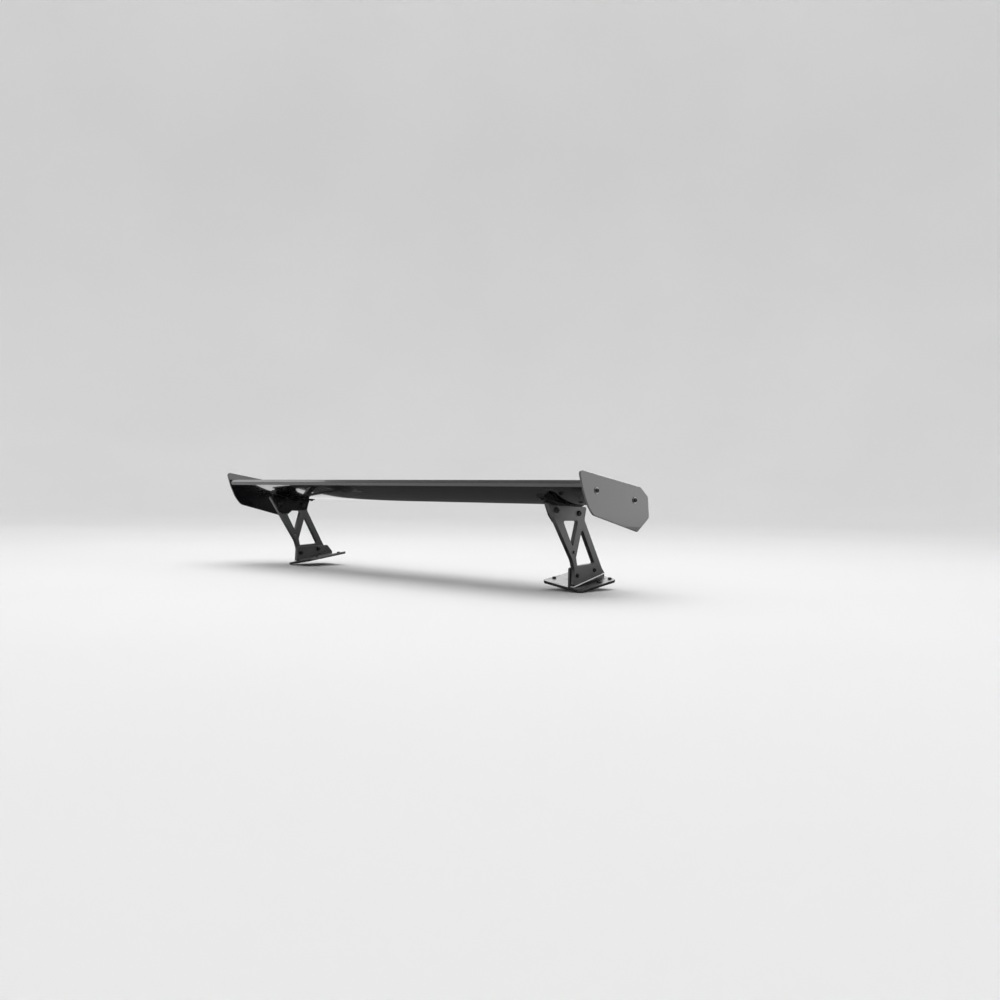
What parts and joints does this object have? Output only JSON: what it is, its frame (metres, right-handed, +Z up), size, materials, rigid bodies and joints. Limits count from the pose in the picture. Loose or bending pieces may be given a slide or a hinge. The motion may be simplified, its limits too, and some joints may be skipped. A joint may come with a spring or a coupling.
{
  "type": "racing rear wing",
  "caption": "Full-width rear wing on two boot-lid uprights, with bolted endplates and brackets that tilt it about a pivot along arc slots.",
  "frame": {"origin": "bottom centre of the whole wing's box: midway between the endplates, midway front to back, at the height of the foot pads' lowest corners", "axes": "+X to the car's right along the span, +Y to the car's front, +Z up"},
  "size_m": [1.5002, 0.3062, 0.3021],
  "materials": {
    "gloss_black": "gloss black painted moulding",
    "powder_black": "satin black powder coat with a fine texture",
    "bracket_black": "smooth black paint, semi-gloss",
    "black_fastener": "black zinc, satin",
    "zinc": "bright zinc, satin",
    "spar": "drawn aluminium tube",
    "rib_nylon": "glass-filled nylon, matt",
    "pad_rubber": "matt black rubber"
  },
  "bodies": {
    "stand": {"upright_left": "powder_black", "foot_left": "powder_black", "foot_pad_left": "pad_rubber", "pivot_bolt_left": "black_fastener", "pivot_nut_left": "black_fastener", "adjuster_bolt_left": "black_fastener", "adjuster_nut_left": "black_fastener", "lower_rear_bolt_left": "black_fastener", "lower_rear_nut_left": "black_fastener", "lower_front_bolt_left": "black_fastener", "lower_front_nut_left": "black_fastener", "foot_bolt_left_outer_front": "black_fastener", "foot_bolt_left_outer_mid": "black_fastener", "foot_bolt_left_inner_rear": "black_fastener", "foot_bolt_left_inner_front": "black_fastener", "upright_right": "powder_black", "foot_right": "powder_black", "foot_pad_right": "pad_rubber", "pivot_bolt_right": "black_fastener", "pivot_nut_right": "black_fastener", "adjuster_bolt_right": "black_fastener", "adjuster_nut_right": "black_fastener", "lower_rear_bolt_right": "black_fastener", "lower_rear_nut_right": "black_fastener", "lower_front_bolt_right": "black_fastener", "lower_front_nut_right": "black_fastener", "foot_bolt_right_outer_front": "black_fastener", "foot_bolt_right_outer_mid": "black_fastener", "foot_bolt_right_inner_rear": "black_fastener", "foot_bolt_right_inner_front": "black_fastener"},
    "wing": {"wing_upper_skin": "gloss_black", "wing_lower_skin": "gloss_black", "main_spar": "spar", "end_rib_left": "rib_nylon", "mount_rib_left": "rib_nylon", "endplate_left": "gloss_black", "wing_bracket_left": "bracket_black", "endplate_washer_left_rear": "zinc", "endplate_washer_left_front": "zinc", "endplate_bolt_left_rear": "black_fastener", "endplate_bolt_left_front": "black_fastener", "bracket_screw_left_a": "black_fastener", "bracket_screw_left_b": "black_fastener", "bracket_screw_left_c": "black_fastener", "bracket_screw_left_d": "black_fastener", "end_rib_right": "rib_nylon", "mount_rib_right": "rib_nylon", "endplate_right": "gloss_black", "wing_bracket_right": "bracket_black", "endplate_washer_right_rear": "zinc", "endplate_washer_right_front": "zinc", "endplate_bolt_right_rear": "black_fastener", "endplate_bolt_right_front": "black_fastener", "bracket_screw_right_a": "black_fastener", "bracket_screw_right_b": "black_fastener", "bracket_screw_right_c": "black_fastener", "bracket_screw_right_d": "black_fastener"}
  },
  "joints": [
    {"name": "wing_tilt", "type": "hinge", "parent": "stand", "child": "wing", "pos_m": [0, 0.02729, 0.1981], "axis": [-1, 0, 0], "range_deg": [-3, 8]}
  ]
}
